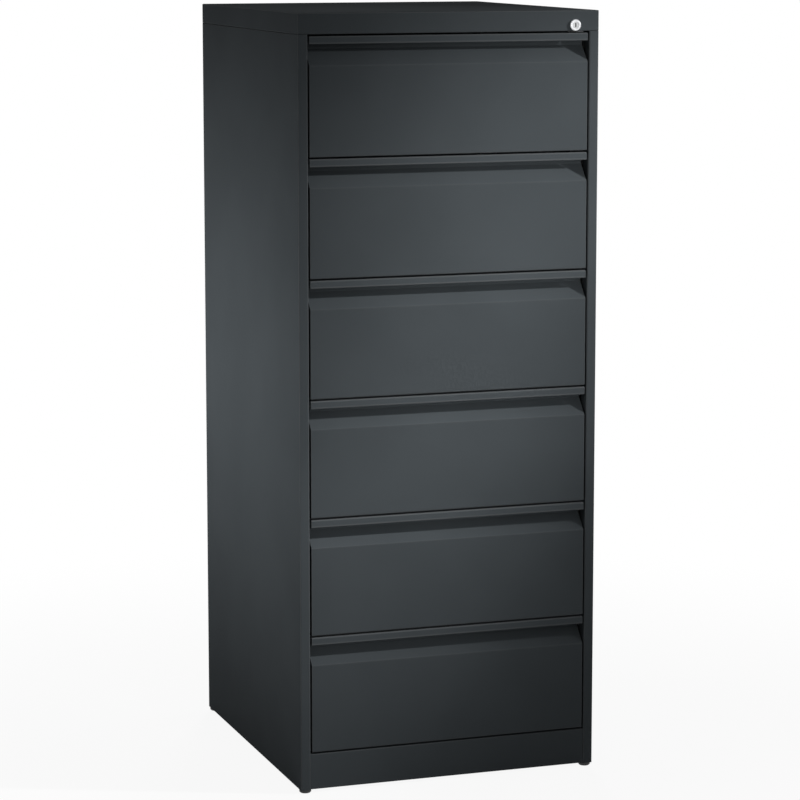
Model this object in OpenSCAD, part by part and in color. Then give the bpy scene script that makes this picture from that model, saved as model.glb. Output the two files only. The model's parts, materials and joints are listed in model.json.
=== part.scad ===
// Steel card index cabinet with six drawers, each with two rows for A5 cards.
// Millimetres. X runs to the right, the front faces -Y and Z is up.
// The origin lies on the floor under the middle of the outline.
// The painted body is folded from sheet. Each drawer hangs on two telescopic
// slides of three nested rails, and one bar behind the right stile locks them.

/* [Cabinet] */
// Width across the two side panels
cabinet_width = 550; // [500:1:650]
// Depth from the front plane to the back, without the lock
cabinet_depth = 603; // [600:1:680]
// Height from the floor to the top
cabinet_height = 1357; // [1345:1:1380]
// Thickness of the body and drawer sheet
sheet = 1; // [0.8:0.1:1.2]
// Outside radius of a folded edge
fold_radius = 2.5; // [2:0.1:3]

/* [Body] */
// Height of the top cover's skirt
cap_height = 36; // [34:0.5:42]
// Width of the flange inside the lower edge of the top cover
cap_flange = 16; // [12:1:18]
// Width of the stile folded across the front of each side panel
stile_width = 18; // [17:0.5:21]
// Depth of the return behind the stile's inner edge
stile_return = 24; // [16:1:26]
// Width of the flange folded across the back of each side panel
rear_flange = 16; // [12:1:24]
// Height of the plinth above the feet
plinth_height = 64; // [40:1:90]
// Distance of the plinth's face behind the front plane
plinth_setback = 1.5; // [0.5:0.5:6]
// Depth of the plinth's lower flange
plinth_flange = 34; // [30:1:40]
// Height of the turned up edges of the bottom panel
bottom_upstand = 12; // [8:1:20]
// Depth of the two ribs pressed into the back panel
rib_depth = 4; // [2:0.5:6]
// Width of a rib
rib_width = 30; // [20:1:50]

/* [Feet] */
// Diameter of a foot
foot_diameter = 21; // [18:0.5:21]
// Height of a foot below the body
foot_height = 6; // [4:0.5:10]
// Diameter of the foot's stud
stud_diameter = 6; // [5:0.5:6.5]

/* [Uprights] */
// Width of an upright's face, from front to back
post_width = 40; // [30:1:50]
// Width of each brim that is welded to the side panel
post_brim = 10; // [8:1:12]
// Front face of the front uprights, behind the front plane
post_front = 46; // [45:1:60]
// Front face of the rear uprights, behind the front plane
post_rear = 500; // [450:1:520]

/* [Drawer fronts] */
// Gap round a drawer front
front_gap = 3; // [2:0.5:5]
// Depth of the drawer front from its face to the tray
front_depth = 27; // [25:0.5:27]
// Height of the grip's opening and lip together
grip_height = 50; // [46:0.5:60]
// Height of the upright part at the back of the grip
grip_land = 22; // [16:0.5:30]
// Height of the lip along the drawer's top edge
lip_height = 12.5; // [10:0.5:14]
// Height of the lip that is turned up at the lower edge
lower_lip = 30; // [20:1:40]

/* [Trays] */
// Length of a tray
tray_length = 550; // [545:1:560]
// Height of the tray's underside above the front's lower edge
tray_level = 12; // [11:0.5:16]
// Distance of the side and back walls' rims below the front's top edge
rim_drop = 55; // [45:1:70]
// Distance of the front wall's top below the front's top edge
front_wall_drop = 5; // [4:0.5:12]
// Distance of the partition's top below the rims
partition_drop = 22; // [10:1:45]
// Width of the partition's foot
partition_foot = 14; // [10:1:20]
// Height of the doubled rim along the walls
hem_height = 8; // [5:0.5:12]

/* [Rails] */
// Room for a slide between an upright and a tray
rail_space = 13; // [12.5:0.1:14]
// Height of the outer rail
rail_height = 46; // [42:1:50]
// Thickness of the rail steel
rail_sheet = 1.2; // [1:0.1:1.4]
// Running play between nested rails
rail_play = 0.1; // [0.05:0.01:0.1]
// Width of the lip that keeps a rail inside the next one
rail_lip = 1.2; // [1:0.1:1.5]
// Front end of the rails, behind the front plane
rail_start = 37; // [36:0.5:44]
// Height of the rails' middle above the front's lower edge
rail_level = 50; // [46:1:55]

/* [Followers] */
// Thickness of a follower's sheet
follower_sheet = 1.5; // [1.2:0.1:2]
// Gap between a follower's plate and the walls of its row
follower_gap = 4.25; // [3.5:0.25:20]
// Distance of a follower's top below the rims
follower_drop = 25; // [12:1:55]
// Width of a follower's foot
follower_foot = 120; // [80:1:160]
// Length of a follower's foot
follower_length = 60; // [50:1:64]
// Distance of a follower's foot from the tray's end, when it is pushed right back
follower_stop = 9; // [7:0.5:40]
// Travel of a follower towards the front
follower_travel = 400; // [300:1:420]
// Diameter of the stem that runs in the floor's slot
stem_diameter = 5; // [4:0.5:6]
// Play of the stem in its slot, and of the follower on the floor
follower_play = 0.1; // [0.05:0.01:0.1]
// Diameter of the clamping knob
knob_diameter = 20; // [16:1:24]

/* [Lock] */
// Distance of the lock's axis from the right side
lock_inset = 45; // [44:0.5:60]
// Distance of the lock's axis below the top
lock_drop = 25.6; // [23:0.1:26]
// Diameter of the lock's face ring
lock_ring = 20; // [17:0.5:22]
// Distance that the ring stands out of the front plane
lock_nose = 4; // [2:0.5:6]
// Diameter of the lock's barrel
lock_barrel = 16; // [14:0.5:16]
// Depth of the barrel behind the front plane
barrel_depth = 24; // [18:0.5:24]
// Diameter of the turning plug
plug_diameter = 11.8; // [9:0.1:12]
// Radial play of the plug in its bore
plug_play = 0.1; // [0.05:0.01:0.1]
// Distance of the cam's pin from the axis
cam_radius = 8; // [7:0.5:9]
// Thickness of the cam
cam_thickness = 2.5; // [2:0.1:3]
// Diameter of the cam's pin
pin_diameter = 4; // [3:0.5:5]
// Width of the locking bar
bar_width = 12; // [10:0.5:12]
// Thickness of the locking bar
bar_thickness = 2; // [1.5:0.1:2.5]
// Front face of the locking bar, behind the front plane
bar_start = 32; // [31:0.5:32.5]
// Thickness of the arm and the hooks, which lie on the bar's front face
hook_sheet = 2; // [1.5:0.1:2.5]
// Running play of the locking bar in its guides
bar_play = 0.1; // [0.05:0.01:0.1]
// Height of each hook, and of the catch that it holds
hook_height = 9; // [7:0.5:10]
// Height of a catch's lower edge above the front's lower edge
catch_level = 97; // [92:1:110]

/* [Hidden] */

PAINT = [0.19, 0.2, 0.21];
ZINC = [0.72, 0.74, 0.76];
CHROME = [0.85, 0.86, 0.88];
BLACK = [0.06, 0.06, 0.06];

$fn = 48;
// Overrun of a cutting shape past the surface that it cuts
over = 1;
// Gap between pieces that pass each other freely
gap = 0.3;
drawer_count = 6;

half_width = cabinet_width / 2;
front_y = -(cabinet_depth + lock_nose) / 2 + lock_nose;
cap_base = cabinet_height - cap_height;
post_face = half_width - stile_width;
plinth_top = foot_height + plinth_height;
drawer_pitch = (cap_base - plinth_top - front_gap) / drawer_count;
front_height = drawer_pitch - front_gap;
front_half = post_face - front_gap;

// The side panels' top flange and the cover's side flanges begin here, so
// that the locking bar passes in front of them.
flange_start = 40;

// Stiffening ribs: distance from the middle and from the panel's ends
rib_x = cabinet_width / 5;
rib_end = 60;

foot_edge = 2;
foot_inset = foot_diameter / 2 + gap;
stud_play = 0.3;
stud_length = 12;
nut_across = 9.8;
nut_height = 5;

tray_half = post_face - rail_space;
tray_end = front_depth + tray_length;
floor_top = tray_level + sheet;
rim_level = front_height - rim_drop;
track_middle = (tray_half - sheet / 2) / 2;
// A doubled edge begins in the middle of the sheet that it stiffens.
doubled = 1.5 * sheet;

// Rails: each is set inside the next one. A hook on the outer rail's web
// hangs in a slot of the upright.
rail_length = tray_end - rail_start;
outer_width = 10;
middle_start = rail_sheet + gap;
middle_width = outer_width - rail_sheet - gap - middle_start;
middle_height = rail_height - 2 * rail_sheet - 2 * rail_play;
inner_start = middle_start + rail_sheet + gap;
inner_height = middle_height - 2 * rail_sheet - 2 * rail_play;
hook_thickness = 2;
hook_neck = 10;
hook_drop = 4;
hook_reach = 3;
hook_slot_width = 5;
hook_slot_height = 15;

follower_rest = tray_end - follower_length - follower_stop;
follower_width = 2 * (track_middle - sheet / 2 - follower_gap);
follower_height = rim_level - floor_top - follower_drop;
// Height of the plate's lower edge beside the foot, and of the foot's bend
plate_lift = 6;
foot_bend = 18;
gusset_inset = 8;
gusset_margin = 6;
stem_setback = 36;
stem_y = follower_rest + stem_setback;
slot_width = stem_diameter + 2 * follower_play;
slot_margin = 6;
washer_diameter = 16;
washer_height = 3;
knob_height = 12;
knob_flare = 3;
knob_edge = 1;

lock_x = half_width - lock_inset;
lock_z = cabinet_height - lock_drop;
ring_edge = 1.2;
plug_recess = 0.8;
key_width = 2;
key_height = 7.5;
key_depth = 6;
clip_size = 17.5;
clip_thickness = 1.5;
cam_start = barrel_depth + gap;
cam_hub = plug_diameter + 2;
pin_overrun = 1.5;
// The cam turns a quarter turn, from 45 degrees below level to 45 above.
cam_drop = cam_radius * sin(45);
// Play above and below the pin: it follows a circle and the bar a line.
pin_play = 0.35;
bar_right = half_width - 4;
bar_left = bar_right - bar_width;
arm_level = lock_z - cam_drop;
arm_height = 14;
arm_end = 6;
rivet_diameter = 5;
rivet_height = 1;
hook_gap = 3;
hook_tip = tray_half + hook_gap;
hook_clearance = 1;
catch_gap = 1;
catch_thickness = 2;
catch_foot = 26;
catch_clearance = 1.1;
guide_level = 30;
guide_height = 15;
guide_wall = 1;

function drawer_z(n) = cap_base - n * drawer_pitch;
function unit(v) = v / norm(v);
function turning(a, b) = atan2(a.x * b.y - a.y * b.x, a * b);

// Placing and sweeping.

module from_front() {
    translate([0, front_y, 0]) children();
}

module in_drawer(n) {
    translate([0, front_y, drawer_z(n)]) children();
}

module along_y(start, length) {
    translate([0, start + length, 0]) rotate([90, 0, 0])
        linear_extrude(height = length) children();
}

module along_x(length, middle = 0) {
    translate([middle, 0, 0]) rotate([90, 0, 90])
        linear_extrude(height = length, center = true) children();
}

module both_sides() {
    children();
    mirror([1, 0, 0]) children();
}

// A quarter of a ring between the directions a and a + 90.
module quarter(middle, inner, outer, a) {
    translate(middle) rotate(a) intersection() {
        difference() {
            circle(r = outer);
            circle(r = inner);
        }
        square(2 * outer);
    }
}

// Section of a folded sheet along the points of its middle line. A square
// bend is round, and a blunt bend is a mitre.
module fold(points, thick = sheet, outer = fold_radius) {
    last = len(points) - 1;
    radius = outer - thick / 2;
    dirs = [for (i = [0 : last - 1]) unit(points[i + 1] - points[i])];
    turns = [
        for (i = [0 : last])
            i == 0 || i == last ? 0 : turning(dirs[i - 1], dirs[i])
    ];
    for (i = [0 : last - 1]) {
        side = [-dirs[i].y, dirs[i].x] * thick / 2;
        starts = square_bend(turns[i]) ? radius : 0;
        ends = square_bend(turns[i + 1]) ? radius : 0;
        slant0 = starts > 0 ? 0 : tan(turns[i] / 2) * thick / 2;
        slant1 = ends > 0 ? 0 : tan(turns[i + 1] / 2) * thick / 2;
        p = points[i] + dirs[i] * starts;
        q = points[i + 1] - dirs[i] * ends;
        polygon([
            p - side - dirs[i] * slant0, q - side + dirs[i] * slant1,
            q + side - dirs[i] * slant1, p + side + dirs[i] * slant0
        ]);
    }
    for (i = [1 : 1 : last - 1]) if (square_bend(turns[i])) {
        way = sign(turns[i]);
        before = dirs[i - 1];
        after = dirs[i];
        middle = points[i] - before * radius + after * radius;
        // The two ends of the ring point back along the sheet's normals.
        a = atan2(-way * before.x, way * before.y);
        quarter(
            middle, radius - thick / 2, radius + thick / 2,
            way > 0 ? a : a - 90
        );
    }
}

function square_bend(angle) = abs(abs(angle) - 90) < 0.01;

module round_rect(width, height, radius) {
    translate([-width / 2 + radius, -height / 2])
        square([width - 2 * radius, height]);
    translate([-width / 2, -height / 2 + radius])
        square([width, height - 2 * radius]);
    for (i = [-1, 1], j = [-1, 1])
        translate([i * (width / 2 - radius), j * (height / 2 - radius)])
            circle(r = radius);
}

module round_box(size, radius) {
    intersection() {
        linear_extrude(height = size.z, center = true)
            round_rect(size.x, size.y, radius);
        along_x(size.x) round_rect(size.y, size.z, radius);
        along_y(-size.y / 2, size.y) round_rect(size.x, size.z, radius);
    }
}

// Body panels.

// The right side panel: web, stile with its return, rear flange, and the
// flanges that carry the cover and the bottom. The left one is its mirror.
module side_panel() {
    web = half_width - sheet / 2;
    height = cap_base - foot_height;
    flange_end = cabinet_depth - 2 * sheet;
    difference() {
        translate([0, 0, foot_height]) linear_extrude(height = height)
            fold([
                [post_face + sheet / 2, stile_return],
                [post_face + sheet / 2, sheet / 2],
                [web, sheet / 2], [web, cabinet_depth - sheet / 2],
                [half_width - rear_flange, cabinet_depth - sheet / 2]
            ]);
        translate([
            half_width - fold_radius, flange_start, cap_base - fold_radius
        ]) cube([
            fold_radius + over, flange_end - flange_start, fold_radius + over
        ]);
    }
    along_y(flange_start, flange_end - flange_start)
        fold([
            [post_face + sheet, cap_base - sheet / 2],
            [web, cap_base - sheet / 2],
            [web, cap_base - 2 * fold_radius]
        ]);
    difference() {
        translate([post_face + sheet / 2, sheet / 2, foot_height])
            cube([stile_width - sheet, flange_end - sheet / 2, sheet]);
        stud_holes();
    }
}

module stud_holes() {
    for (y = [foot_inset, cabinet_depth - foot_inset])
        translate([half_width - foot_inset, y, 0])
            cylinder(h = 2 * foot_height + stud_length,
                d = stud_diameter + 2 * stud_play);
}

module side_left() {
    color(PAINT) from_front() mirror([1, 0, 0]) side_panel();
}

module side_right() {
    color(PAINT) from_front() side_panel();
}

// The back panel lies inside the side panels' rear flanges.
module back_panel() {
    face = cabinet_depth - 2 * sheet;
    color(PAINT) from_front() difference() {
        union() {
            translate([-half_width + fold_radius, face, foot_height])
                cube([
                    cabinet_width - 2 * fold_radius, sheet,
                    cap_base - foot_height
                ]);
            both_sides() translate([
                rib_x - rib_width / 2, face - rib_depth,
                foot_height + rib_end
            ]) cube([
                rib_width, rib_depth + sheet / 2,
                cap_base - foot_height - 2 * rib_end
            ]);
        }
        both_sides() translate([
            rib_x - rib_width / 2 + sheet, face - rib_depth + sheet,
            foot_height + rib_end + sheet
        ]) cube([
            rib_width - 2 * sheet, rib_depth + over,
            cap_base - foot_height - 2 * rib_end - 2 * sheet
        ]);
    }
}

// A lid with rounded edges, open below inside its flanges. The opening is
// wider at the front, where the locking bar rises into the cover.
module top_cover() {
    size = [cabinet_width, cabinet_depth, cap_height];
    inset = 2 * sheet * [1, 1, 1];
    color(PAINT) from_front() difference() {
        translate([0, cabinet_depth / 2, cap_base + cap_height / 2])
            difference() {
                round_box(size, fold_radius);
                round_box(size - inset, fold_radius - sheet);
            }
        translate([-half_width + cap_flange, cap_flange, cap_base - over])
            cube([
                cabinet_width - 2 * cap_flange,
                cabinet_depth - 2 * cap_flange, sheet + 2 * over
            ]);
        translate([-half_width + fold_radius, cap_flange, cap_base - over])
            cube([
                cabinet_width - 2 * fold_radius,
                flange_start - cap_flange, sheet + 2 * over
            ]);
        translate([lock_x, -over, lock_z]) rotate([-90, 0, 0])
            cylinder(h = sheet + 2 * over, d = lock_barrel + 2 * plug_play);
    }
}

// The bottom panel lies on the lower flanges, behind the stiles' returns.
module bottom_panel() {
    start = stile_return + sheet / 2;
    end = cabinet_depth - 2 * sheet;
    level = foot_height + sheet;
    color(PAINT) from_front() difference() {
        along_x(cabinet_width - 2 * fold_radius) fold([
            [start + sheet / 2, level + bottom_upstand],
            [start + sheet / 2, level + sheet / 2],
            [end - sheet / 2, level + sheet / 2],
            [end - sheet / 2, level + bottom_upstand]
        ]);
        both_sides() stud_holes();
    }
}

// The plinth is a channel between the stiles' returns.
module plinth() {
    face = plinth_setback + sheet / 2;
    back = plinth_setback + plinth_flange;
    color(PAINT) from_front() along_x(2 * post_face) fold([
        [stile_return, foot_height + sheet / 2],
        [face, foot_height + sheet / 2], [face, plinth_top - sheet / 2],
        [back - sheet / 2, plinth_top - sheet / 2],
        [back - sheet / 2, plinth_top - bottom_upstand]
    ]);
}

// Four screw-in feet, each with its stud and nut.
module foot(lift) {
    radius = foot_diameter / 2;
    rotate_extrude() polygon([
        [0, 0], [radius - foot_edge, 0], [radius, foot_edge],
        [radius, foot_height], [stud_diameter / 2, foot_height],
        [stud_diameter / 2, foot_height + stud_length],
        [0, foot_height + stud_length]
    ]);
    translate([0, 0, foot_height + lift])
        cylinder(h = nut_height, d = nut_across / cos(30), $fn = 6);
}

module feet() {
    x = half_width - foot_inset;
    color(BLACK) from_front() both_sides() {
        translate([x, foot_inset, 0]) foot(sheet);
        translate([x, cabinet_depth - foot_inset, 0]) foot(2 * sheet);
    }
}

// An upright with a slot for each slide's hook, on the right side.
module post(y) {
    web = half_width - sheet * 1.5;
    face = post_face + sheet / 2;
    level = foot_height + 2 * sheet;
    y1 = y + sheet / 2;
    y2 = y + post_width - sheet / 2;
    slot = [2 * over + sheet, hook_slot_width, hook_slot_height];
    color(ZINC) from_front() difference() {
        translate([0, 0, level])
            linear_extrude(height = cap_base - fold_radius - level) fold([
                [web, y1 - post_brim], [web, y1], [face, y1], [face, y2],
                [web, y2], [web, y2 + post_brim]
            ]);
        for (n = [1 : drawer_count]) translate([
            post_face - over, y + (post_width - slot.y) / 2,
            drawer_z(n) + rail_level - hook_neck / 2
        ]) cube(slot);
    }
}

module post_front_left() {
    mirror([1, 0, 0]) post(post_front);
}

module post_front_right() {
    post(post_front);
}

module post_rear_left() {
    mirror([1, 0, 0]) post(post_rear);
}

module post_rear_right() {
    post(post_rear);
}

// Slides. Each section is drawn on the right side, with its middle at z = 0.
// The outer rail and the middle rail each hold the next one behind two lips.

module channel(start, width, height) {
    back = post_face - start;
    difference() {
        translate([back - width, -height / 2]) square([width, height]);
        translate([back - width - over, -height / 2 + rail_sheet])
            square([width + over - rail_sheet, height - 2 * rail_sheet]);
    }
    for (end = [-1, 1]) translate([
        back - width,
        end * (height / 2 - rail_sheet - rail_lip / 2) - rail_lip / 2
    ]) square([rail_sheet, rail_lip]);
}

// The inner rail: a web on the tray and a runner inside each lip.
module inner_section() {
    runner = middle_start + middle_width - rail_sheet - gap - inner_start;
    throat = middle_height / 2 - rail_sheet - rail_lip - gap;
    difference() {
        translate([tray_half, -throat])
            square([rail_space - inner_start, 2 * throat]);
        translate([tray_half + rail_sheet, -throat + rail_sheet])
            square([rail_space, 2 * throat - 2 * rail_sheet]);
    }
    for (end = [-1, 1]) {
        low = throat - rail_sheet;
        high = inner_height / 2;
        translate([
            post_face - inner_start - runner,
            end * (low + high) / 2 - (high - low) / 2
        ]) square([runner, high - low]);
    }
}

// A hook on the outer rail's web. Its neck rests in the upright's slot, and
// its tongue hangs behind the sheet.
module rail_hook(y) {
    tongue = sheet + gap;
    translate([0, y + (post_width - hook_thickness) / 2, 0])
        along_y(0, hook_thickness) {
            translate([post_face - rail_sheet / 2, -hook_neck / 2])
                square([hook_reach + rail_sheet / 2, hook_neck]);
            translate([post_face + tongue, -hook_neck / 2 - hook_drop])
                square([hook_reach - tongue, hook_neck]);
        }
}

module outer_rails() {
    for (n = [1 : drawer_count]) translate([0, 0, drawer_z(n) + rail_level]) {
        along_y(rail_start, rail_length) channel(0, outer_width, rail_height);
        rail_hook(post_front);
        rail_hook(post_rear);
    }
}

module outer_rails_left() {
    color(ZINC) from_front() mirror([1, 0, 0]) outer_rails();
}

module outer_rails_right() {
    color(ZINC) from_front() outer_rails();
}

module middle_rails(n) {
    color(ZINC) in_drawer(n) both_sides() translate([0, 0, rail_level])
        along_y(rail_start, rail_length)
            channel(middle_start, middle_width, middle_height);
}

// The inner rails of one drawer, and the catch above the right one.
module drawer_rails(n) {
    color(ZINC) in_drawer(n) {
        both_sides() translate([0, 0, rail_level])
            along_y(rail_start, rail_length) inner_section();
        drawer_catch();
    }
}

module drawer_catch() {
    start = bar_start + catch_gap;
    translate([tray_half, start, catch_level]) {
        cube([
            rail_space - catch_clearance, catch_thickness, hook_height
        ]);
        cube([catch_thickness, catch_foot, hook_height]);
    }
}

// Drawers.

// The front is one folded sheet: a lower lip, the face, the leaning back of
// the grip, and the lip that the fingers pull. The grip is open at its ends.
module drawer_front(n) {
    back = front_depth - sheet / 2;
    top = front_height - sheet / 2;
    bend = front_height - grip_height;
    land = front_height - grip_land;
    color(PAINT) in_drawer(n) {
        along_x(2 * front_half) {
            fold([
                [back, lower_lip], [back, sheet / 2], [sheet / 2, sheet / 2],
                [sheet / 2, bend], [back, land], [back, top],
                [sheet / 2, top], [sheet / 2, front_height - lip_height]
            ]);
            translate([sheet, front_height - lip_height])
                circle(r = sheet);
            translate([sheet / 2, front_height - lip_height])
                square([doubled, lip_height / 2]);
        }
        both_sides() along_x(sheet, front_half - sheet / 2) polygon([
            [sheet, sheet], [front_depth - sheet, sheet],
            [front_depth, fold_radius], [front_depth, land - fold_radius],
            [back, land], [sheet / 2, bend]
        ]);
    }
}

// The tray is folded up at the sides, with a taller wall against the front
// and a slot in the floor of each row for the follower's stem.
module drawer_tray(n) {
    side = tray_half - sheet / 2;
    inside = tray_half - sheet;
    front_top = front_height - front_wall_drop;
    color(PAINT) in_drawer(n) difference() {
        union() {
            along_y(front_depth, tray_length) {
                fold([
                    [-side, rim_level], [-side, tray_level + sheet / 2],
                    [side, tray_level + sheet / 2], [side, rim_level]
                ]);
                both_sides()
                    translate([inside - sheet, rim_level - hem_height])
                        square([doubled, hem_height]);
            }
            translate([-inside, front_depth, floor_top])
                cube([2 * inside, sheet, front_top - floor_top]);
            translate([-inside, tray_end - sheet, floor_top])
                cube([2 * inside, sheet, rim_level - floor_top]);
            translate([
                -inside, tray_end - 2 * sheet, rim_level - hem_height
            ]) cube([2 * inside, doubled, hem_height]);
        }
        both_sides() translate([track_middle, 0, tray_level - over])
            linear_extrude(height = sheet + 2 * over) {
                translate([
                    -slot_width / 2, stem_y - follower_travel - slot_margin
                ]) square([slot_width, follower_travel + 2 * slot_margin]);
            }
    }
}

// The partition stands between the two rows on a foot to the right.
module drawer_partition(n) {
    top = rim_level - partition_drop;
    color(PAINT) in_drawer(n) along_y(
        front_depth + sheet, tray_length - 3 * sheet
    ) {
        fold([
            [partition_foot, floor_top + sheet / 2],
            [0, floor_top + sheet / 2], [0, top]
        ]);
        translate([0, top - hem_height]) square([doubled, hem_height]);
    }
}

// A follower holds the cards of one row upright. Its stem runs in the slot
// of the floor, with a washer below and a clamping knob above.
module follower(n) {
    level = floor_top + follower_play;
    top = level + follower_height;
    half = follower_sheet / 2;
    color(ZINC) translate([track_middle, follower_rest, 0]) {
        along_x(follower_foot) fold([
            [follower_length, level + half], [half, level + half],
            [half, level + foot_bend]
        ], follower_sheet);
        along_x(follower_width) intersection() {
            fold([
                [half, level], [half, top - half],
                [follower_length / 4, top - half]
            ], follower_sheet);
            translate([-over, level + plate_lift])
                square([follower_length, follower_height]);
        }
        for (end = [-1, 1]) along_x(
            follower_sheet, end * (follower_foot / 2 - gusset_inset)
        ) polygon([
            [half, level + half],
            [follower_length - gusset_margin, level + half],
            [half, level + follower_length]
        ]);
    }
    color(ZINC) translate([track_middle, stem_y, 0]) {
        translate([0, 0, tray_level - follower_play - washer_height]) {
            cylinder(h = washer_height, d = washer_diameter);
            cylinder(
                h = 2 * washer_height + sheet, d = stem_diameter
            );
        }
        translate([0, 0, level + half]) rotate_extrude() polygon([
            [0, 0], [knob_diameter / 2 - knob_flare, 0],
            [knob_diameter / 2, knob_flare],
            [knob_diameter / 2, knob_height - knob_edge],
            [knob_diameter / 2 - knob_edge, knob_height], [0, knob_height]
        ]);
    }
}

module follower_left(n) {
    in_drawer(n) mirror([1, 0, 0]) follower(n);
}

module follower_right(n) {
    in_drawer(n) follower(n);
}

// Lock. The plug turns the cam, whose pin lifts the locking bar, and the
// bar's hooks then stand in front of the drawers' catches.

// Turns a revolved shape so that its axis runs from front to back.
module on_lock_axis() {
    from_front() translate([lock_x, 0, lock_z]) rotate([-90, 0, 0])
        children();
}

module lock_housing() {
    bore = plug_diameter / 2 + plug_play;
    color(CHROME) on_lock_axis() {
        rotate_extrude() polygon([
            [bore, -lock_nose], [lock_ring / 2 - ring_edge, -lock_nose],
            [lock_ring / 2, -lock_nose + ring_edge], [lock_ring / 2, 0],
            [lock_barrel / 2, 0], [lock_barrel / 2, barrel_depth],
            [bore, barrel_depth]
        ]);
        translate([0, 0, sheet]) linear_extrude(height = clip_thickness)
            difference() {
                square(clip_size, center = true);
                circle(d = lock_barrel - sheet);
            }
    }
}

module lock_cylinder() {
    pin_end = bar_start + pin_overrun;
    color(CHROME) difference() {
        on_lock_axis() {
            translate([0, 0, -lock_nose + plug_recess])
                cylinder(
                    h = cam_start + lock_nose - plug_recess,
                    d = plug_diameter
                );
            translate([0, 0, cam_start])
                cylinder(h = cam_thickness, d = cam_hub);
            // The cam points to the right and down.
            rotate([0, 0, 45]) {
                translate([0, -pin_diameter, cam_start])
                    cube([cam_radius, 2 * pin_diameter, cam_thickness]);
                translate([cam_radius, 0, cam_start])
                    cylinder(h = cam_thickness, r = pin_diameter);
                translate([cam_radius, 0, cam_start])
                    cylinder(h = pin_end - cam_start, d = pin_diameter);
            }
        }
        on_lock_axis() translate([
            -key_width / 2, -key_height / 2, -lock_nose - over
        ]) cube([key_width, key_height, key_depth + over]);
    }
}

// The bar runs down behind the right stile, past every drawer.
module lock_bar() {
    top = arm_level + arm_height / 2;
    bottom = drawer_z(drawer_count) + catch_level - 2 * hook_height;
    color(ZINC) from_front() translate([bar_left, bar_start, bottom])
        cube([bar_width, bar_thickness, top - bottom]);
}

// The arm with the slot for the cam's pin, and a hook for each drawer. They
// are riveted to the bar, and stand in the unlocked position.
module lock_hooks() {
    arm_left = lock_x + cam_drop - arm_end;
    slot_from = lock_x + cam_drop - pin_diameter / 2 - pin_play;
    slot_to = lock_x + cam_radius + pin_diameter / 2 + pin_play;
    slot_half = pin_diameter / 2 + pin_play;
    color(ZINC) from_front() {
        along_y(bar_start - hook_sheet, hook_sheet) difference() {
            translate([arm_left, arm_level - arm_height / 2])
                square([bar_right - arm_left, arm_height]);
            translate([slot_from, arm_level - slot_half])
                square([slot_to - slot_from, 2 * slot_half]);
        }
        bar_rivet(arm_level);
        for (n = [1 : drawer_count]) {
            low = drawer_z(n) + catch_level - hook_clearance - hook_height;
            translate([hook_tip, bar_start - hook_sheet, low])
                cube([bar_right - hook_tip, hook_sheet, hook_height]);
            bar_rivet(low + hook_height / 2);
        }
    }
}

module bar_rivet(z) {
    translate([
        (bar_left + bar_right) / 2, bar_start - hook_sheet - rivet_height, z
    ]) rotate([-90, 0, 0])
        cylinder(h = rivet_height + over, d = rivet_diameter);
}

// Three sleeves on the side panel keep the bar upright.
module lock_bar_guides() {
    inner_x = bar_left - bar_play;
    inner_y = bar_start - bar_play;
    inner_w = bar_width + 2 * bar_play;
    inner_d = bar_thickness + 2 * bar_play;
    color(ZINC) from_front() for (n = [1, 3, 5])
        translate([0, 0, drawer_z(n) + guide_level])
            linear_extrude(height = guide_height) difference() {
                translate([inner_x - guide_wall, inner_y - guide_wall])
                    square([
                        half_width - sheet - inner_x + guide_wall,
                        inner_d + 2 * guide_wall
                    ]);
                translate([inner_x, inner_y]) square([inner_w, inner_d]);
            }
}

side_left();
side_right();
back_panel();
top_cover();
bottom_panel();
plinth();
feet();
post_front_left();
post_front_right();
post_rear_left();
post_rear_right();
outer_rails_left();
outer_rails_right();
lock_housing();
lock_bar_guides();
lock_cylinder();
lock_bar();
lock_hooks();
drawer_front(1);  // drawer_1_front
drawer_tray(1);  // drawer_1_tray
drawer_partition(1);  // drawer_1_partition
drawer_rails(1);  // drawer_1_rails
middle_rails(1);  // middle_rails_1
follower_left(1);  // follower_1_left
follower_right(1);  // follower_1_right
drawer_front(2);  // drawer_2_front
drawer_tray(2);  // drawer_2_tray
drawer_partition(2);  // drawer_2_partition
drawer_rails(2);  // drawer_2_rails
middle_rails(2);  // middle_rails_2
follower_left(2);  // follower_2_left
follower_right(2);  // follower_2_right
drawer_front(3);  // drawer_3_front
drawer_tray(3);  // drawer_3_tray
drawer_partition(3);  // drawer_3_partition
drawer_rails(3);  // drawer_3_rails
middle_rails(3);  // middle_rails_3
follower_left(3);  // follower_3_left
follower_right(3);  // follower_3_right
drawer_front(4);  // drawer_4_front
drawer_tray(4);  // drawer_4_tray
drawer_partition(4);  // drawer_4_partition
drawer_rails(4);  // drawer_4_rails
middle_rails(4);  // middle_rails_4
follower_left(4);  // follower_4_left
follower_right(4);  // follower_4_right
drawer_front(5);  // drawer_5_front
drawer_tray(5);  // drawer_5_tray
drawer_partition(5);  // drawer_5_partition
drawer_rails(5);  // drawer_5_rails
middle_rails(5);  // middle_rails_5
follower_left(5);  // follower_5_left
follower_right(5);  // follower_5_right
drawer_front(6);  // drawer_6_front
drawer_tray(6);  // drawer_6_tray
drawer_partition(6);  // drawer_6_partition
drawer_rails(6);  // drawer_6_rails
middle_rails(6);  // middle_rails_6
follower_left(6);  // follower_6_left
follower_right(6);  // follower_6_right
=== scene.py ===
import json
import math

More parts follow.
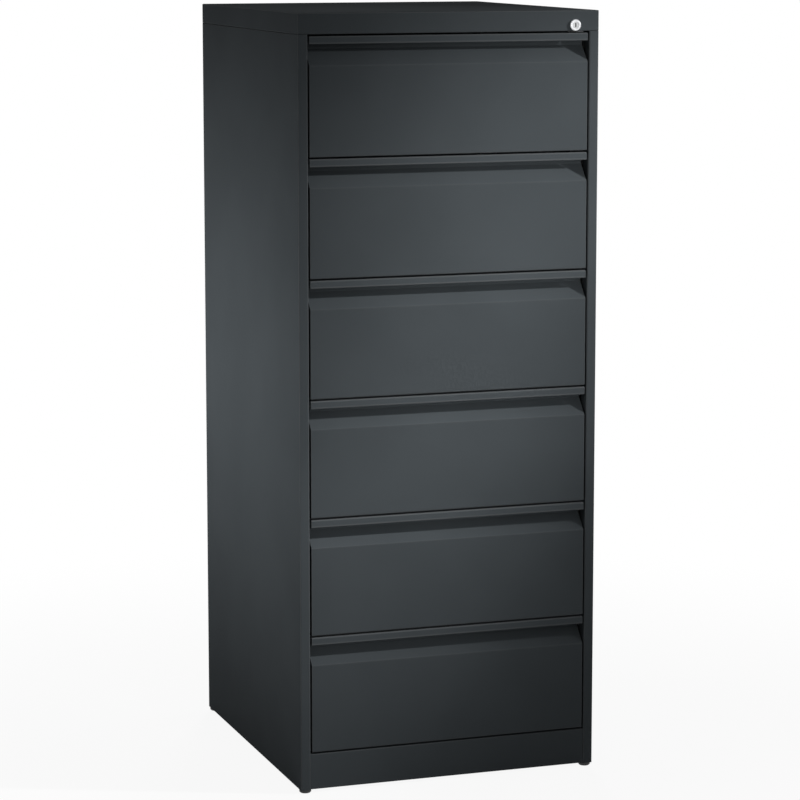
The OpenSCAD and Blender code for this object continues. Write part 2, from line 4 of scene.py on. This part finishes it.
import bmesh
import bpy
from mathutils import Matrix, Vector


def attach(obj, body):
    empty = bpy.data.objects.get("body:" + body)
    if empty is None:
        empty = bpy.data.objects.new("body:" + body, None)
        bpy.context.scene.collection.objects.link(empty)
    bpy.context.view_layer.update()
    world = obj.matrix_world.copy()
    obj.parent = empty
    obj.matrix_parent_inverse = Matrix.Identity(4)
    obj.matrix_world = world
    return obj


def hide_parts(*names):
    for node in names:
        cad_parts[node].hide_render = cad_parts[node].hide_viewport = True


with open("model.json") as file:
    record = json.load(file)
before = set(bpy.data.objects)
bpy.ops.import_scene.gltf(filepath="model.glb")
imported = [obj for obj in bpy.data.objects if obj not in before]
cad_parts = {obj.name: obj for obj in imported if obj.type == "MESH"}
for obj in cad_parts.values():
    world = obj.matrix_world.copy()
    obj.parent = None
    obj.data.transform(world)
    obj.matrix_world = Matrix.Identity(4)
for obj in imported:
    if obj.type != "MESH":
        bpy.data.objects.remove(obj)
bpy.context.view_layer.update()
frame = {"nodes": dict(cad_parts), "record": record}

# The body: two side panels with the stiles folded across their fronts, all of
# one millimetre steel sheet. The bends are pressed, the stiles' returns run
# back beside the drawers, and the whole body is powder coated after welding.


class Wire:
    """One value in a node tree. An expression on wires adds Math nodes."""

    def __init__(self, tree, socket=None):
        self.tree, self.socket = tree, socket

    def node(self, kind, settings=None, inputs=None, out=0):
        """Adds a node, sets it, feeds its sockets and returns one output."""
        made = self.tree.nodes.new(kind)
        for name, value in (settings or {}).items():
            setattr(made, name, value)
        for name, value in (inputs or {}).items():
            if isinstance(value, Wire):
                self.tree.links.new(value.socket, made.inputs[name])
            else:
                made.inputs[name].default_value = value
        return None if out is None else Wire(self.tree, made.outputs[out])

    def maths(self, operation, a, b):
        return self.node(
            "ShaderNodeMath", {"operation": operation}, {0: a, 1: b})

    def __add__(self, other):
        return self.maths("ADD", self, other)

    def __sub__(self, other):
        return self.maths("SUBTRACT", self, other)

    def __rsub__(self, other):
        return self.maths("SUBTRACT", other, self)

    def __mul__(self, other):
        return self.maths("MULTIPLY", self, other)

    __radd__ = __add__
    __rmul__ = __mul__

    def magnitude(self):
        return self.node(
            "ShaderNodeMath", {"operation": "ABSOLUTE"}, {0: self})

    def largest(self, other):
        return self.maths("MAXIMUM", self, other)

    def step(self, low, high):
        """0 below low and 1 above high, with a smooth change between them."""
        return self.node(
            "ShaderNodeMapRange", {"interpolation_type": "SMOOTHSTEP"},
            {"Value": self, "From Min": low, "From Max": high})


X, Y, Z = range(3)


class Finish:
    """A material with its shader, and wires for place on the piece."""

    def __init__(self, name, **shader):
        self.material = bpy.data.materials.new(name)
        self.material.use_nodes = True
        self.tree = self.material.node_tree
        self.shader = self.tree.nodes["Principled BSDF"]
        for socket, value in shader.items():
            self.shader.inputs[socket.replace("_", " ")].default_value = value
        self.node = Wire(self.tree).node
        self.place = self.node("ShaderNodeTexCoord", out="Object")

    def axis(self, index):
        return self.node("ShaderNodeSeparateXYZ", {}, {0: self.place}, index)

    def noise(self, scale, detail=2.0, rough=0.5, place=None):
        return self.node(
            "ShaderNodeTexNoise", {},
            {"Vector": place or self.place, "Scale": scale, "Detail": detail,
             "Roughness": rough})

    def vector(self, operation, a, b):
        return self.node("ShaderNodeVectorMath", {"operation": operation},
                         {0: a, 1: b})

    def blend(self, factor, a, b):
        return self.node(
            "ShaderNodeMix", {"data_type": "RGBA"},
            {"Factor": factor, "A": a, "B": b}, "Result")

    def bends(self):
        """0 on faces square to the axes, and up to 1 across a bend or edge."""
        parts = {0: self.node("ShaderNodeNewGeometry", out="Normal")}
        x, y, z = (
            self.node("ShaderNodeSeparateXYZ", {}, parts, index).magnitude()
            for index in (X, Y, Z))
        return (1 - x.largest(y).largest(z)).step(0.02, 0.25)

    def bump(self, height, distance, strength):
        self.feed("Normal", self.node(
            "ShaderNodeBump", {},
            {"Height": height, "Distance": distance, "Strength": strength}))

    def feed(self, socket, wire):
        self.tree.links.new(wire.socket, self.shader.inputs[socket])


COAT_DARK, COAT_PALE = (0.0463, 0.0532, 0.0576, 1), (0.0495, 0.0567, 0.0614, 1)
# The last colour is the lighter tone of bends and edges: a thinner, rubbed
# coat, and partly a painted highlight.
COAT_FLECK, COAT_WORN_AND_HIGHLIT = (0.073, 0.078, 0.080, 1), (0.097, 0.101, 0.104, 1)
COAT_GRAIN_HEIGHT = 0.00005


def powder_coat(name, wear_and_highlight):
    """Matt black grey powder coat. Where the edge mask is high the coat is thin
    and smooth, and its colour is lighter, partly as a rubbed coat and partly as
    a painted highlight.
    """
    coat = Finish(name, Specular_IOR_Level=0.0, Coat_Roughness=0.35)
    cloud = coat.noise(7.0, 3.0)
    grain = coat.noise(420.0, 3.0, 0.6)
    fleck = coat.noise(2400.0, 1.0)
    edge = wear_and_highlight(coat)
    tone = coat.blend(cloud.step(0.3, 0.7), COAT_DARK, COAT_PALE)
    tone = coat.blend(fleck.step(0.62, 0.78) * 0.35, tone, COAT_FLECK)
    # Painted highlight and rubbed coat: the edge mask lightens the colour along
    # bends and edges.
    coat.feed("Base Color", coat.blend(edge * 0.45, tone, COAT_WORN_AND_HIGHLIT))
    coat.feed("Roughness", 0.46 + (cloud - 0.5) * 0.04 + (grain - 0.5) * 0.12
              - edge * 0.08)
    coat.feed("Coat Weight", 0.03 + edge * 0.03 + (cloud - 0.5) * 0.01)
    coat.bump(grain + fleck * 0.25, COAT_GRAIN_HEIGHT, 0.6)
    return coat.material


# On the body the bends are lightened: a thinner coat, and partly a painted
# highlight.
BODY_PAINT = powder_coat("black_grey_powder_coat", Finish.bends)
BODIES = frame["record"]["behaviour"]["bodies"]
RIDES_ON = {node: body for body, nodes in BODIES.items() for node in nodes}
SAME_POINT = 1e-6
FLAT_JOIN = math.radians(0.2)
CREASE = math.radians(40)


def sheet_piece(node, finish, eased=0.0004):
    """The node as a whole skin with its cut edges eased, as after deburring."""
    shape = bmesh.new()
    shape.from_mesh(frame["nodes"][node].data)
    bmesh.ops.remove_doubles(shape, verts=shape.verts, dist=SAME_POINT)
    bmesh.ops.dissolve_limit(
        shape, angle_limit=FLAT_JOIN, verts=shape.verts, edges=shape.edges)
    bmesh.ops.recalc_face_normals(shape, faces=shape.faces)
    for face in shape.faces:
        face.smooth = True
    skin = bpy.data.meshes.new(node + "_sheet")
    shape.to_mesh(skin)
    shape.free()
    skin.set_sharp_from_angle(angle=CREASE)
    skin.materials.append(finish)
    piece = bpy.data.objects.new(node + "_sheet", skin)
    bpy.context.scene.collection.objects.link(piece)
    ease = piece.modifiers.new("eased", "BEVEL")
    ease.limit_method, ease.angle_limit = "ANGLE", CREASE
    ease.width, ease.segments, ease.harden_normals = eased, 2, True
    level = piece.modifiers.new("level", "WEIGHTED_NORMAL")
    level.keep_sharp, level.weight = True, 100
    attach(piece, RIDES_ON[node])
    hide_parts(node)


for node in ("side_left", "side_right"):
    sheet_piece(node, BODY_PAINT)

# The cover: a lid with rounded edges and a skirt, folded from one sheet and
# welded at its corners. It sits on the side panels' top flanges.

sheet_piece("top_cover", BODY_PAINT)

# The back, the bottom and the plinth close the body. The back has two pressed
# ribs, and the plinth is a channel between the stiles.

for node in ("back_panel", "bottom_panel", "plinth"):
    sheet_piece(node, BODY_PAINT)

# The feet: round screw-in feet of black moulded plastic with a fine grain,
# scuffed grey where they meet the floor.

FOOT_DARK, FOOT_PALE = (0.012, 0.012, 0.013, 1), (0.020, 0.020, 0.021, 1)
FOOT_SCUFF, SCUFF_HEIGHT = (0.09, 0.09, 0.09, 1), 0.003


def moulded_plastic(name):
    plastic = Finish(name, Specular_IOR_Level=0.4)
    low = 1 - plastic.axis(Z).step(0.0, SCUFF_HEIGHT)
    grain = plastic.noise(1500.0, 2.0)
    scuff = low * plastic.noise(260.0, 4.0).step(0.45, 0.6)
    tone = plastic.blend(plastic.noise(90.0), FOOT_DARK, FOOT_PALE)
    plastic.feed("Base Color", plastic.blend(scuff * 0.6, tone, FOOT_SCUFF))
    plastic.feed("Roughness", 0.48 + grain * 0.12 + scuff * 0.2)
    plastic.bump(grain, 0.00004, 0.6)
    return plastic.material


sheet_piece("feet", moulded_plastic("black_foot_plastic"),
            eased=0.0003)

# The uprights and the slides: rolled steel strip with a bright zinc plating.
# The strip keeps its rolling lines, and the plating has a faint blue bloom.

ZINC_DULL, ZINC_BRIGHT = (0.37, 0.385, 0.405, 1), (0.42, 0.43, 0.445, 1)
ZINC_LINE, ZINC_STAIN = (0.27, 0.285, 0.305, 1), (0.28, 0.29, 0.30, 1)
# A near black tone for painted shade on the locking bar.
SHADE_DARK = (0.035, 0.034, 0.032, 1)
LINES_ACROSS, LINES_ALONG = 900.0, 12.0


def zinc_plate(name, along, shade_share=0.0):
    """Bright zinc over rolled strip, with its lines along the given axis. The
    last argument darkens most of it in patches, as painted shade.
    """
    zinc = Finish(name, Metallic=1.0)
    stretch = [LINES_ACROSS] * 3
    stretch[along] = LINES_ALONG
    rolled = zinc.vector("MULTIPLY", zinc.place, stretch)
    lines = zinc.noise(1.0, 4.0, 0.6, rolled)
    bloom = zinc.noise(28.0, 3.0)
    stain = zinc.noise(9.0, 4.0, 0.6).step(0.58, 0.75)
    # Painted shade: a near black mix over most of the strip, scaled by the last
    # argument.
    painted_shade = zinc.noise(35.0, 4.0, 0.6).step(0.2, 0.6) * shade_share
    tone = zinc.blend(bloom.step(0.35, 0.7), ZINC_DULL, ZINC_BRIGHT)
    tone = zinc.blend(lines * 0.5, tone, ZINC_LINE)
    tone = zinc.blend(stain * 0.25, tone, ZINC_STAIN)
    zinc.feed("Base Color", zinc.blend(painted_shade, tone, SHADE_DARK))
    zinc.feed("Roughness", 0.30 + lines * 0.16 + stain * 0.05 + painted_shade * 0.12)
    zinc.bump(lines, 0.00002, 0.6)
    return zinc.material


RAIL_ZINC = zinc_plate("zinc_rail_strip", Y)
UPRIGHT_ZINC = zinc_plate("zinc_upright_strip", Z)
for node in frame["nodes"]:
    if node.startswith("post_"):
        sheet_piece(node, UPRIGHT_ZINC, eased=0.0003)
    elif "rails" in node:
        sheet_piece(node, RAIL_ZINC, eased=0.0002)

# The lock: a plated housing with a turned face ring, and the plug with its
# keyway. The plug carries the cam behind the barrel.

LOCK_AXIS = Vector((0.230, -0.3035, 1.3314))
SQUARE_TO_AXIS = (1, 0, 1)
RING_DULL, RING_BRIGHT = (0.50, 0.51, 0.53, 1), (0.62, 0.62, 0.63, 1)
PLUG_DULL, PLUG_BRIGHT = (0.34, 0.35, 0.36, 1), (0.44, 0.44, 0.44, 1)
SHADED_METAL = (0.05, 0.05, 0.052, 1)
RING_SHADED_FROM, PLUG_SHADED_FROM, SHADE_DEPTH = -0.2998, -0.3024, 0.0015


def turned_plate(name, deep_from, dull, bright):
    """Nickel plate with turning marks round the lock, and painted shade
    darkening it in its depth.
    """
    plate = Finish(name, Metallic=1.0)
    from_axis = plate.vector("SUBTRACT", plate.place, LOCK_AXIS)
    spoke = plate.vector("MULTIPLY", from_axis, SQUARE_TO_AXIS)
    radius = plate.node("ShaderNodeVectorMath", {"operation": "LENGTH"},
                        {0: spoke}, "Value")
    rings = plate.node("ShaderNodeTexNoise", {"noise_dimensions": "1D"},
                       {"W": radius, "Scale": 9000.0, "Detail": 3.0})
    cloud = plate.noise(400.0, 3.0)
    deep = plate.axis(Y).step(deep_from, deep_from + SHADE_DEPTH)
    tone = plate.blend(cloud.step(0.35, 0.7) * 0.6 + rings * 0.4, dull, bright)
    plate.feed("Base Color", plate.blend(deep, tone, SHADED_METAL))
    plate.feed("Roughness", 0.24 + rings * 0.16 + deep * 0.2)
    plate.bump(rings, 0.00001, 0.5)
    return plate.material


RING_PLATE = turned_plate("lock_ring_plate", RING_SHADED_FROM, RING_DULL,
                          RING_BRIGHT)
PLUG_PLATE = turned_plate("lock_plug_plate", PLUG_SHADED_FROM, PLUG_DULL,
                          PLUG_BRIGHT)
sheet_piece("lock_housing", RING_PLATE, eased=0.00015)
sheet_piece("lock_cylinder", PLUG_PLATE, eased=0.00008)

# The locking bar: flat zinc plated strip, with the arm to the lock and a hook
# for each drawer riveted to it. Three sleeves guide it. All of it is painted
# dark in patches, as painted shade where the arm shows in the gap under the
# cover.

SHADE_DARKENED_ZINC = zinc_plate("shade_darkened_zinc_strip", Z, 0.92)
for node in ("lock_bar", "lock_hooks", "lock_bar_guides"):
    sheet_piece(node, SHADE_DARKENED_ZINC, eased=0.0002)

# The drawer fronts: one folded sheet each, with a lip for the fingers and the
# sheet leaning back below it, in the same coat as the body. The heights here
# are measured from a front's lower edge.

DRAWERS = range(1, 7)
PITCH, LOWEST_FRONT = 0.208, 0.073
FACE_TOP, LIP_EDGE, FRONT_TOP, HALF_FRONT = 0.155, 0.1925, 0.205, 0.254
# Heights of the light lines on a front, each with its strength; each line is
# partly rubbed coat and partly painted highlight.
WORN_AND_HIGHLIT_LINES = ((0.0005, 0.8), (FACE_TOP, 0.3), (LIP_EDGE + 0.0005, 0.8),
              (FRONT_TOP - 0.0005, 1.0))
LINE_FULL_MARK, LINE_NO_MARK = 0.0004, 0.0022
END_NO_MARK, END_FULL_MARK = HALF_FRONT - 0.0012, HALF_FRONT - 0.0002


def front_wear_and_highlights(coat):
    """Where a front is lightened: its bends, its lip's edge and its ends. This
    is partly a thinner, rubbed coat and partly a painted highlight, strongest
    along the top bend of the lip.
    """
    height = coat.axis(Z) - LOWEST_FRONT
    height = height.maths("FLOORED_MODULO", height, PITCH)
    edge = coat.axis(X).magnitude().step(END_NO_MARK, END_FULL_MARK)
    for line, mark_strength in WORN_AND_HIGHLIT_LINES:
        away = (height - line).magnitude()
        edge = edge.largest((1 - away.step(LINE_FULL_MARK, LINE_NO_MARK)) * mark_strength)
    return edge


FRONT_PAINT = powder_coat("front_powder_coat", front_wear_and_highlights)
for number in DRAWERS:
    sheet_piece(f"drawer_{number}_front", FRONT_PAINT,
                eased=0.0006)

# The trays: folded sheet with doubled rims on the walls, and a partition that
# stands on its foot between the two rows, coated with the fronts. The
# followers are zinc plated and slide in slots in the trays' floors.

for number in DRAWERS:
    sheet_piece(f"drawer_{number}_tray", BODY_PAINT, eased=0.0003)
    sheet_piece(f"drawer_{number}_partition", BODY_PAINT,
                eased=0.0003)
    for row in ("left", "right"):
        sheet_piece(f"follower_{number}_{row}", UPRIGHT_ZINC,
                    eased=0.0003)

# The studio: a pale paper floor in a white surround. The floor fades to white
# away from the cabinet and keeps its shadow near the feet.

FLOOR_HALF = 30.0
PAPER, WHITE = (0.80, 0.80, 0.80, 1), (1, 1, 1, 1)
FADE_FROM, FADE_TO, WHITE_NEAR_FEET = 0.5, 1.8, 0.92
ROOM_LIGHT = 0.19
floor_shape = bmesh.new()
bmesh.ops.create_grid(floor_shape, x_segments=1, y_segments=1, size=FLOOR_HALF)
floor_mesh = bpy.data.meshes.new("floor")
floor_shape.to_mesh(floor_mesh)
floor_shape.free()
floor = bpy.data.objects.new("floor", floor_mesh)
bpy.context.scene.collection.objects.link(floor)


def seen_as_backdrop(add):
    """1 for rays from the camera, from gloss and through glass, else 0."""
    camera_ray, gloss_ray, glass_ray = (
        add("ShaderNodeLightPath", out=name)
        for name in ("Is Camera Ray", "Is Glossy Ray", "Is Transmission Ray"))
    return camera_ray.largest(gloss_ray.largest(glass_ray))


floor_paper = bpy.data.materials.new("floor_paper")
floor_paper.use_nodes = True
floor_paper.node_tree.nodes.clear()
add = Wire(floor_paper.node_tree).node
distance = add("ShaderNodeVectorMath", {"operation": "LENGTH"},
               {0: add("ShaderNodeTexCoord", out="Object")}, "Value")
far_off = distance.step(FADE_FROM, FADE_TO)
share = WHITE_NEAR_FEET + far_off * (1 - WHITE_NEAR_FEET)
pale = add("ShaderNodeBsdfDiffuse", {}, {"Color": PAPER})
white = add("ShaderNodeEmission", {}, {"Color": WHITE, "Strength": 1.0})
paper = add("ShaderNodeMixShader", {},
            {0: seen_as_backdrop(add) * share, 1: pale, 2: white})
add("ShaderNodeOutputMaterial", {}, {"Surface": paper}, None)
floor_mesh.materials.append(floor_paper)

world = bpy.data.worlds.new("studio")
bpy.context.scene.world = world
world.use_nodes = True
world.node_tree.nodes.clear()
add = Wire(world.node_tree).node
dim = add("ShaderNodeBackground", {}, {"Color": WHITE, "Strength": ROOM_LIGHT})
white = add("ShaderNodeBackground", {}, {"Color": WHITE, "Strength": 1.0})
surround = add("ShaderNodeMixShader", {},
               {0: seen_as_backdrop(add), 1: dim, 2: white})
add("ShaderNodeOutputWorld", {}, {"Surface": surround}, None)

# The lamps: two banks of spots aimed down the fronts, from a stand close on the
# right, which draws the shadows, and from one farther off in front. A weak soft
# lamp fills the front, and one each lights the left, the right and the back.

FRONTS_Y = -0.3


def lamp(name, kind, place, aim, watts, beam, size):
    """A lamp of beam degrees at place, facing aim. size is (across, high)."""
    light = bpy.data.lights.new(name, kind)
    light.energy = watts
    if kind == "AREA":
        light.shape, light.size, light.size_y = "RECTANGLE", size[0], size[1]
        light.spread = math.radians(beam)
    else:
        light.shadow_soft_size = size[0]
        light.spot_size, light.spot_blend = math.radians(beam), 1.0
    towards = Vector(aim) - Vector(place)
    holder = bpy.data.objects.new(name, light)
    holder.location = place
    holder.rotation_euler = towards.to_track_quat("-Z", "Y").to_euler()
    holder.visible_camera = False
    bpy.context.scene.collection.objects.link(holder)


def bank(name, stand, beam, radius, aims):
    """Spots on one stand. Each aim is (across, height, watts)."""
    for number, (across, height, watts) in enumerate(aims, 1):
        lamp(f"{name}_{number}", "SPOT", stand, (across, FRONTS_Y, height),
             watts, beam, (radius, radius))


bank("key_lamp", stand=(1.74, -1.15, 1.83), beam=18.0, radius=0.05, aims=(
    (0.2, 1.3, 108), (0.1, 1.05, 128), (-0.2, 0.75, 82), (0.1, 0.75, 74),
    (-0.5, 0.45, 35), (0.1, 0.45, 56), (-0.5, 0.15, 173)))
bank("front_lamp", stand=(0.3, -3.8, 1.2), beam=13.0, radius=0.2, aims=(
    (0.25, 1.25, 135), (0.2, 1.0, 90), (0.05, 0.8, 198), (-0.15, 0.4, 156)))
lamp("fill_lamp", "AREA", place=(0.2, -4.4, 2.0), aim=(0.0, FRONTS_Y, 0.7),
     watts=0.77, beam=30.0, size=(1.2, 1.2))
lamp("side_lamp", "AREA", place=(-1.9, 0.35, 0.72), aim=(-0.275, 0.35, 0.72),
     watts=4.5, beam=50.0, size=(1.6, 0.2))
lamp("right_lamp", "AREA", place=(2.3, 0.6, 0.9), aim=(0.275, 0.3, 0.75),
     watts=6.2, beam=80.0, size=(2.2, 1.4))
lamp("back_lamp", "AREA", place=(1.0, 2.9, 0.7), aim=(0.0, 0.3, 0.75),
     watts=17.0, beam=60.0, size=(0.8, 0.8))

# The camera: a long lens at the photograph's viewing angle. It stands to the
# left of the cabinet and a little above it, and looks down on it.

LENS, SENSOR, SHIFT = 133.83, 36.0, -0.05
CAMERA_STAND = (-1.7608, -5.1101, 1.5120)
LOOKS_DOWN, TURNED_RIGHT = math.radians(8.416), math.radians(19.13)
camera_data = bpy.data.cameras.new("camera")
camera_data.lens, camera_data.sensor_width = LENS, SENSOR
camera_data.shift_y = SHIFT
camera = bpy.data.objects.new("camera", camera_data)
camera.location = CAMERA_STAND
camera.rotation_euler = (math.radians(90) - LOOKS_DOWN, 0, -TURNED_RIGHT)
bpy.context.scene.collection.objects.link(camera)
bpy.context.scene.camera = camera
bpy.context.scene.view_settings.view_transform = "Standard"
